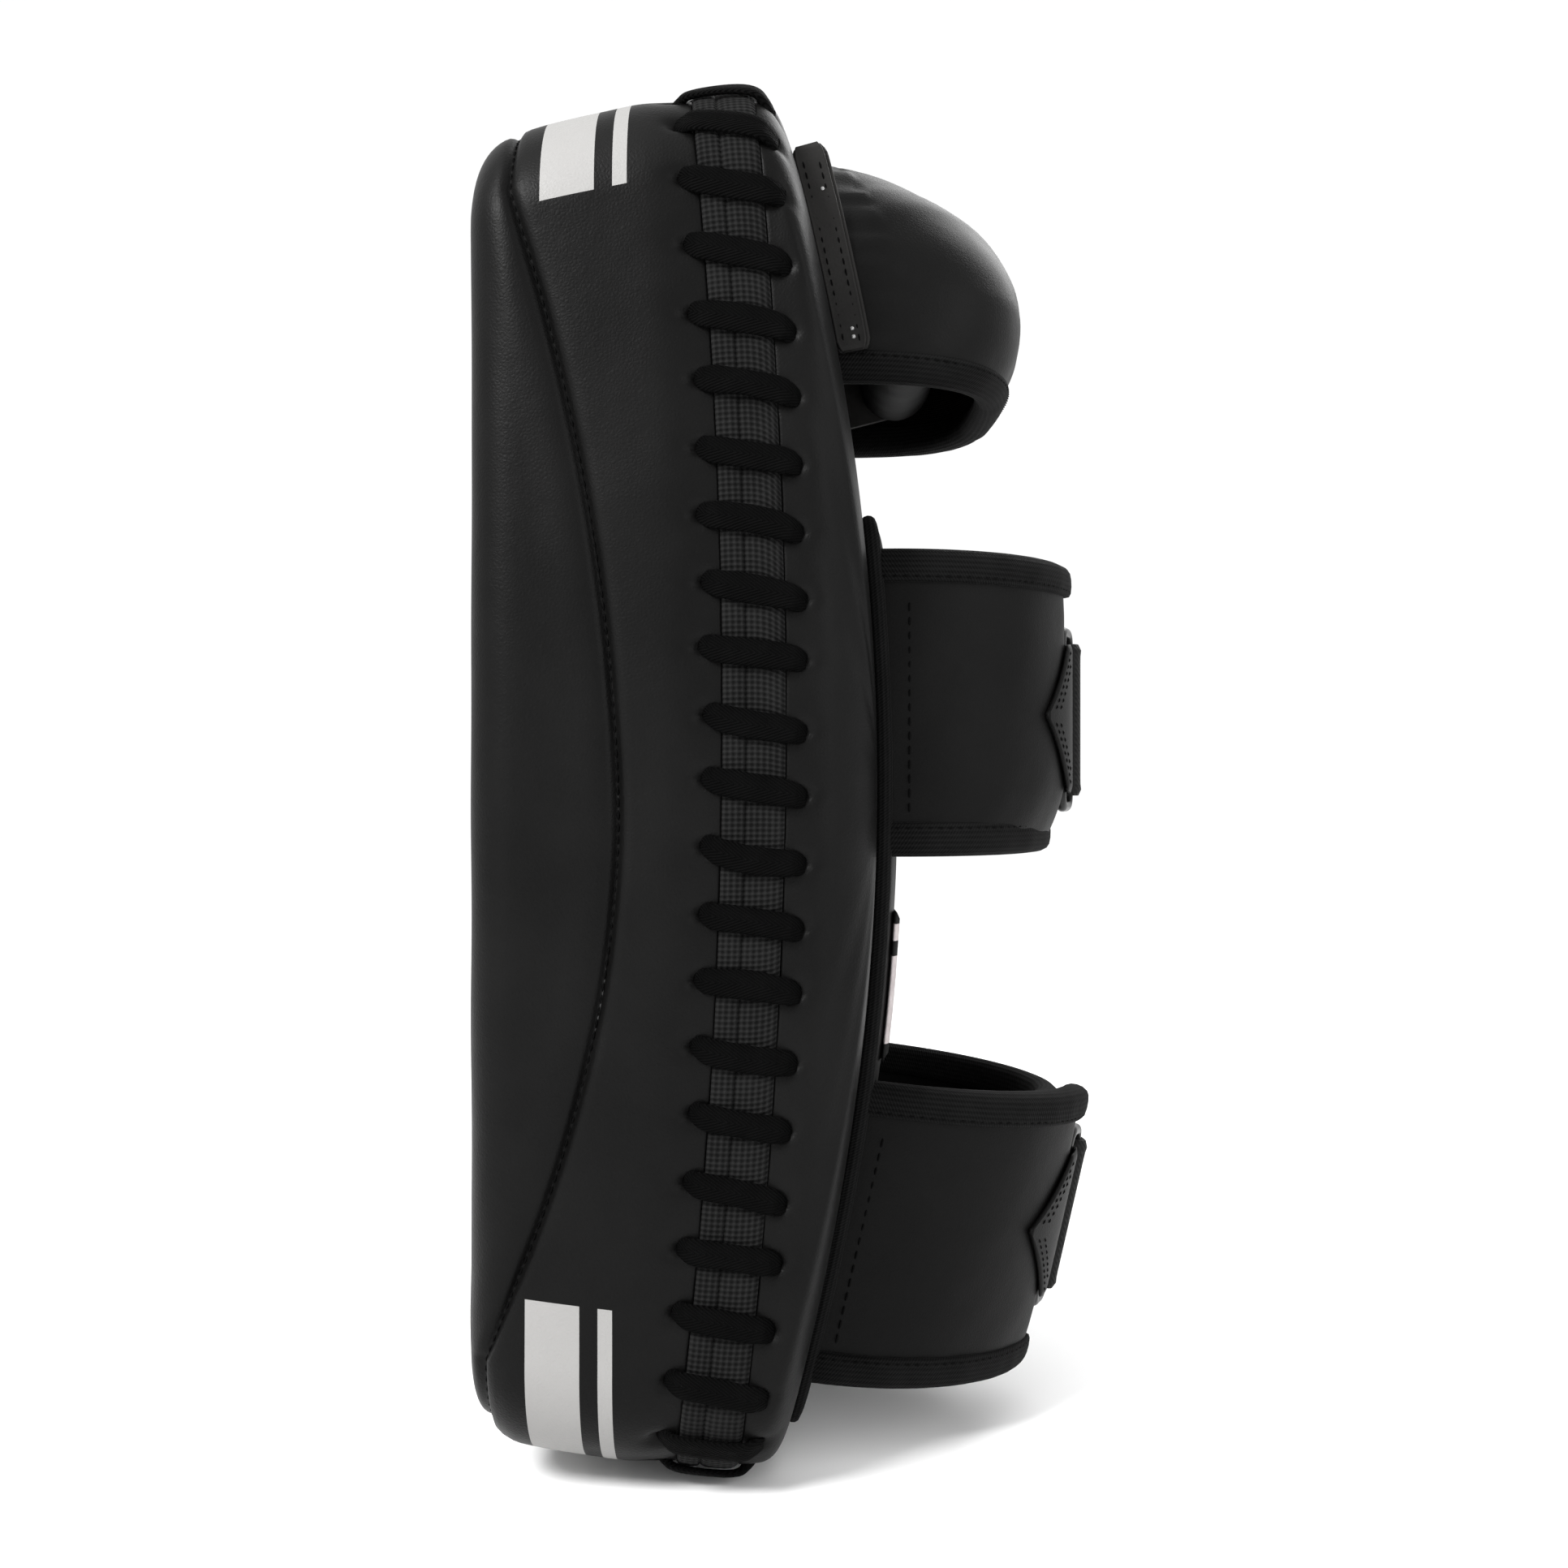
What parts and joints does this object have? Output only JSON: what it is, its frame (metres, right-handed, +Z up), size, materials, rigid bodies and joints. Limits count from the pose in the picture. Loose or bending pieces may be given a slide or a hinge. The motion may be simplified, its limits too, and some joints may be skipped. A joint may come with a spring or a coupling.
{
  "type": "thai pad",
  "caption": "Laced leather kick and punch shield for one forearm, with a padded fist guard, a grip and two strapped cuffs on the back.",
  "frame": {"origin": "on the ground plane under the middle of the pad, with the pad upright on its elbow end", "axes": "+Z up from the elbow end to the hand end, -Y out of the striking face, +X across the pad on the side where the closure straps are anchored"},
  "size_m": [0.2068, 0.188, 0.4015],
  "materials": {
    "leather": "satin black with fine grain",
    "webbing": "ribbed black tape",
    "strap": "smooth black strap with bound edges",
    "lace": "flat black braid",
    "hook_and_loop": "black pile",
    "lining": "plain black lining",
    "label": "woven label with plain pale bars",
    "black_steel": "gloss black",
    "foam": "matt foam",
    "board": "matt stiff board",
    "core_wood": "turned dowel"
  },
  "bodies": {
    "root": {"soft_foam": "foam", "dense_foam": "foam", "back_board": "board", "face_panel": "leather", "side_gusset": "leather", "back_cover": "leather", "front_edge_binding": "webbing", "rear_edge_binding": "webbing", "lace": "lace", "lace_knot": "lace", "arm_pad_foam": "foam", "arm_pad_cover": "leather", "arm_pad_binding": "webbing", "arm_pad_label": "label", "guard_leather": "leather", "guard_foam": "foam", "guard_lining": "lining", "guard_binding": "webbing", "guard_flanges": "leather", "grip_core": "core_wood", "grip_foam": "foam", "grip_leather": "leather", "grip_tabs": "leather", "grip_rivets": "black_steel", "upper_near_flap": "leather", "upper_near_binding": "webbing", "upper_far_flap": "leather", "upper_far_binding": "webbing", "upper_anchor_tab": "leather", "upper_ring": "black_steel", "upper_strap": "strap", "upper_loop_patch": "hook_and_loop", "lower_near_flap": "leather", "lower_near_binding": "webbing", "lower_far_flap": "leather", "lower_far_binding": "webbing", "lower_anchor_tab": "leather", "lower_ring": "black_steel", "lower_strap": "strap", "lower_loop_patch": "hook_and_loop"},
    "upper_strap_tail": {"upper_strap_end": "strap", "upper_hook_patch": "hook_and_loop"},
    "lower_strap_tail": {"lower_strap_end": "strap", "lower_hook_patch": "hook_and_loop"}
  },
  "joints": [
    {"name": "upper_strap_peel", "type": "hinge", "parent": "root", "child": "upper_strap_tail", "pos_m": [0, 0.09131, 0.221], "axis": [0, 0, -1], "range_deg": [0, 110]},
    {"name": "lower_strap_peel", "type": "hinge", "parent": "root", "child": "lower_strap_tail", "pos_m": [0, 0.08818, 0.05845], "axis": [0, -0.225, -0.9744], "range_deg": [0, 110]}
  ]
}
